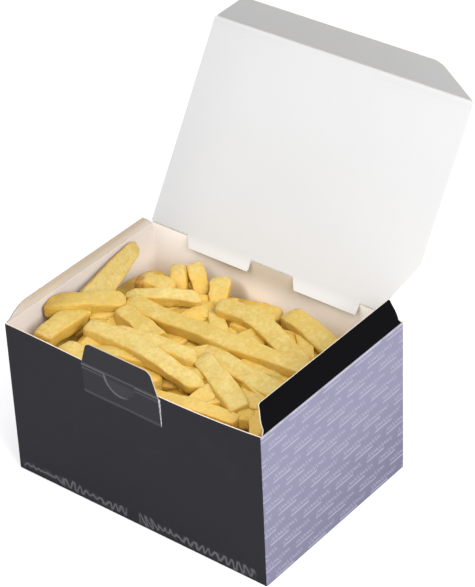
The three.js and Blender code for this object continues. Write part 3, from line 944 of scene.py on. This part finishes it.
def shapeFry(bar, length, fry, draw):  # size, taper, slanted ends, sunken faces and uneven skin
    width, height = fry["size"][0] * mm, fry["size"][1] * mm
    taper = fry.get("taper", draw.uniform(0.88, 1.12))
    reach, cap = fryShape["length"] / 2, fryShape["cap"]
    shift = Vector([draw.uniform(-1, 1) for i in range(3)])
    slants = [draw.uniform(-0.35, 0.35) for i in range(2)]
    narrow = fry.get("ends", [draw.uniform(0.65, 0.9) for i in range(2)])
    toasts = fry.get("toast", [max(0, draw.uniform(-0.3, 0.3)) for i in range(2)])
    lean, waist = draw.uniform(-0.12, 0.12), draw.uniform(0, 2 * math.pi)
    turn = fry.get("turn", draw.uniform(-0.25, 0.25))
    tone, loose = fry.get("tone", draw.uniform(0, 1) ** 1.5), fry.get("wobble", 1)
    wears, grains = [], []
    for vertex in bar.data.vertices:
        x, y, z = vertex.co.x, vertex.co.y / fryShape["side"], vertex.co.z / fryShape["side"]
        along = max(-1, min(1, x / (reach - cap)))
        nearEnd = max(0, (abs(x) - (reach - cap)) / cap)
        end = 0 if x < 0 else 1
        edge = min(abs(y), abs(z)) ** 3
        share = 0.5 + 0.5 * along
        size = 1 - (1 - taper) * share + fryShape["waist"] * loose * math.sin(waist + along * 4)
        size *= 1 - (1 - narrow[end]) * nearEnd ** 1.7
        sunk = 1 - fryShape["sunk"] * (1 - edge) * (1 - nearEnd)
        slant = slants[end] * y * nearEnd * width / 2 * loose
        across = y * (1 + lean * z) * (sunk if abs(y) > abs(z) else 1)
        upward = z * (sunk if abs(z) >= abs(y) else 1)
        twist = turn * along
        across, upward = (across * math.cos(twist) - upward * math.sin(twist),
                          across * math.sin(twist) + upward * math.cos(twist))
        place = Vector((along * (length / 2 - cap) + (x - along * (reach - cap)) + slant,
                        across * width / 2 * size, upward * height / 2 * size))
        wobble = Vector()
        for kind, amount in (("bend", loose), ("lump", loose), ("skin", 1)):
            scale, offset, rise = fryShape[kind]
            wobble += sway(place * scale + shift * offset) * rise * amount
        vertex.co = place + wobble + Vector((length / 2, 0, 0))
        wears.append((edge, toasts[end] * nearEnd ** 0.8, tone))
        grains.append(place + shift)
    storeVectors(bar, "fryGrain", grains)
    return wears


def makeFry(model, fry, draw):
    points = [Vector((x, y, rim / mm - depth)) * mm for x, y, depth in fry["path"]]
    curve, length = fryPath(points)
    bar = bpy.data.objects.new("fry", model.data.copy())
    bpy.context.collection.objects.link(bar)
    wears = shapeFry(bar, length, fry, draw)
    roll = fry.get("roll", draw.uniform(-5, 25))
    bar.data.transform(Matrix.Rotation(math.radians(roll), 4, "X"))
    modify(bar, "CURVE", object=curve, deform_axis="POS_X")
    bpy.data.objects.remove(curve)
    for vertex in bar.data.vertices:
        vertex.co.x = withinWall(vertex.co.x, halfWidth - board - fryShape["wall"])
        vertex.co.y = withinWall(vertex.co.y, halfDepth - board - fryShape["wall"])
    wear = bar.data.attributes.new("fryWear", "FLOAT_COLOR", "POINT")
    for row, vertex, mark in zip(wears, bar.data.vertices, wear.data):
        # the alpha is painted shade, a deeper gold on sides, undersides and low parts
        mark.color = (*row, paintedGoldShade(vertex, fry.get("goldAndShade", 1)))
    return bar


def paintedGoldShade(vertex, share):  # painted shade: sides and undersides, and what lies low in the heap, are painted a deeper gold
    side = ease(0.1, 1.0, 1 - vertex.normal.z) * share
    low = ease(7 * mm, 16 * mm, rim - vertex.co.z) * (0.3 + 0.7 * share)
    return 1 - (1 - 0.6 * side) * (1 - 0.9 * low)


def withinWall(value, limit):  # presses what would pass a wall softly against it
    start = limit - fryShape["squeeze"]
    over = abs(value) - start
    if over <= 0:
        return value
    return math.copysign(start + fryShape["squeeze"] * (1 - math.exp(-over / fryShape["squeeze"])), value)


fillShape = {"count": 72, "halfLengths": (18, 32), "depths": (13.5, 20.5), "front": -53, "side": 78,
             "back": 53, "widths": (8.5, 10.5), "heights": (8, 9), "seed": 11}


def sink(x, y):  # how much deeper the fries under the others lie towards the walls, in mm
    rear = 9 * ease(5, 40, y) * ease(30, -60, x) + 6 * ease(34, 46, y) * ease(10, 30, x)
    return rear + 3 * ease(50, 75, abs(x)) + 6 * ease(38, 50, -y)


def hiddenFry(path, draw):
    return {"path": path, "size": (draw.uniform(*fillShape["widths"]), draw.uniform(*fillShape["heights"]))}


def fillerFries():  # the fries under the ones that show
    draw = random.Random(fillShape["seed"])
    fries = []
    while len(fries) < fillShape["count"]:
        half = draw.uniform(*fillShape["halfLengths"])
        turn = draw.uniform(0, math.pi)
        reachX, reachY = abs(math.cos(turn)) * half, abs(math.sin(turn)) * half
        x = draw.uniform(reachX - fillShape["side"], fillShape["side"] - reachX)
        y = draw.uniform(fillShape["front"] + reachY, fillShape["back"] - reachY)
        depth = draw.uniform(*fillShape["depths"])
        slope, bend = draw.uniform(-2, 2), draw.uniform(-3, 3)
        path = [(x + side * half * math.cos(turn) + (bend if side == 0 else 0),
                 y + side * half * math.sin(turn), depth + side * slope) for side in (-1, 0, 1)]
        fries.append(hiddenFry([(x, y, depth + sink(x, y)) for x, y, depth in path], draw))
    return fries


wallShape = {"halfLengths": (15, 25), "away": (5.5, 12), "turn": 0.4, "clear": 6, "shake": 4, "seed": 5,
             "rows": [((0, -1), 14, (22, 27)), ((0, 1), 12, (28, 33)), ((-1, 0), 10, (24.5, 29)),
                      ((1, 0), 10, (20, 25))]}


def wallFries():  # fries lower down along each wall; a row has its side, count and depths
    draw = random.Random(wallShape["seed"])
    fries = []
    for (sideX, sideY), count, depths in wallShape["rows"]:
        for i in range(count):
            half = draw.uniform(*wallShape["halfLengths"])
            turn = draw.uniform(-1, 1) * wallShape["turn"] + (0 if sideY else math.pi / 2)
            away = draw.uniform(*wallShape["away"])
            cos, sin = math.cos(turn), math.sin(turn)
            limitX = halfWidth / mm - wallShape["clear"] - abs(cos) * half
            limitY = halfDepth / mm - wallShape["clear"] - abs(sin) * half
            share = (2 * i + 1) / count - 1
            shake = draw.uniform(-1, 1) * wallShape["shake"]
            x = sideX * min(limitX, halfWidth / mm - away) if sideX else share * limitX + shake
            y = sideY * min(limitY, halfDepth / mm - away) if sideY else share * limitY + shake
            depth, slope = draw.uniform(*depths), draw.uniform(-2, 2)
            path = [(x + end * half * cos, y + end * half * sin, depth + end * slope) for end in (-1, 0, 1)]
            fries.append(hiddenFry(path, draw))
    return fries


core = {"depth": 25 * mm, "sag": 7 * mm, "inset": 1 * mm, "cuts": 60, "lumps": ((90, 2.5 * mm), (25, 3 * mm))}


def packedCore():  # a closed block with a lumpy top, which fills the box below the fries
    low = (core["inset"] - halfWidth, core["inset"] - halfDepth, board * 2)
    block = addBlock("packedFries", low, (-low[0], -low[1], rim - core["depth"]))
    openEdit(block)
    choose(block, "faces", lambda face: face.normal.z > 0.9)
    bpy.ops.mesh.subdivide(number_cuts=core["cuts"])
    closeEdit()
    for vertex in block.data.vertices:
        if vertex.co.z > rim / 2:
            place = vertex.co
            lump = sum(noise.noise(place * scale) * height for scale, height in core["lumps"])
            fall = max(ease(0.5, 1, abs(place.x) / halfWidth), ease(0.35, 1, place.y / halfDepth))
            vertex.co.z += lump - core["sag"] * fall
    count = len(block.data.vertices)
    wear = block.data.attributes.new("fryWear", "FLOAT_COLOR", "POINT")
    # the alpha gives the packed core the full deep gold of painted shade
    wear.data.foreach_set("color", [0.6, 0.2, 1.0, 1.0] * count)
    storeVectors(block, "fryGrain", [vertex.co for vertex in block.data.vertices])
    setMaterials(block, [potato])
    smooth(block, 60)
    return block


potato = friedPotato("friedPotato")
model = straightFry()
draw = random.Random(fryShape["seed"])
topFries = join([makeFry(model, fry, draw) for fry in shownFries], "friesOnTop")
hidden = [makeFry(model, fry, draw) for fry in fillerFries() + wallFries()]
half = len(hidden) // 2
bpy.data.objects.remove(model)
for heap in (topFries, join(hidden[:half], "friesUnderFirst"), join(hidden[half:], "friesUnderSecond")):
    setMaterials(heap, [potato])
    smooth(heap, 60)
    finishPiece(heap, "box", "fries", "fries_heap")
finishPiece(packedCore(), "box", "fries", "fries_heap")
print("fries heaped")


# Floor, light and camera

stageSet = {"floor": (0.85, 0.85, 0.85), "floorSize": 6, "world": 1.0}
lights = {  # place, the point it faces, size in metres and power in watts
    "keyLight": ((-0.3, -0.9, 1.45), (0, 0, 0.08), 1.0, 8.5),
    "sideLight": ((0.85, -0.22, 0.75), (0, 0, 0.09), 0.7, 13.5),
    "topLight": ((0.0, 0.1, 1.8), (0, 0, 0.08), 1.2, 2.8),
}


def floorSheet():
    floor = addSheet("floor", (-stageSet["floorSize"],) * 2, (stageSet["floorSize"],) * 2)
    paint = Paint("paleFloor")
    setMaterials(floor, [paint.set(color=stageSet["floor"], roughness=0.9, specular=0.1)])


def softLight(name, place, target, size, power):
    bpy.ops.object.light_add(type="AREA", location=place)
    lamp = bpy.context.object
    lamp.name = name
    lamp.data.shape, lamp.data.size, lamp.data.energy = "SQUARE", size, power
    lamp.rotation_euler = (Vector(target) - Vector(place)).to_track_quat("-Z", "Y").to_euler()


def studioWorld():
    world = bpy.data.worlds.new("studio")
    bpy.context.scene.world = world
    world.use_nodes = True
    background = world.node_tree.nodes["Background"]
    background.inputs["Color"].default_value = (1, 1, 1, 1)
    background.inputs["Strength"].default_value = stageSet["world"]


viewShape = {"target": (23.6 * mm, 0, 119.8 * mm), "distance": 1.2076, "azimuth": 39.65, "elevation": 34.16,
             "roll": -2.67, "focal": 2441.5, "imageHeight": 587, "sensor": 36}


def placeCamera():
    azimuth, elevation, roll = [math.radians(viewShape[name]) for name in ("azimuth", "elevation", "roll")]
    back = Vector((math.sin(azimuth) * math.cos(elevation), -math.cos(azimuth) * math.cos(elevation),
                   math.sin(elevation)))
    bpy.ops.object.camera_add(location=Vector(viewShape["target"]) + back * viewShape["distance"])
    camera = bpy.context.object
    turn = (-back).to_track_quat("-Z", "Y").to_matrix() @ Matrix.Rotation(roll, 3, "Z")
    camera.rotation_euler = turn.to_euler()
    camera.data.sensor_width = viewShape["sensor"]
    camera.data.lens = viewShape["focal"] / viewShape["imageHeight"] * viewShape["sensor"]
    bpy.context.scene.camera = camera


floorSheet()
studioWorld()
for name, settings in lights.items():
    softLight(name, *settings)
placeCamera()
bpy.context.scene.view_settings.view_transform = "Standard"
print("stage, light and camera ready")
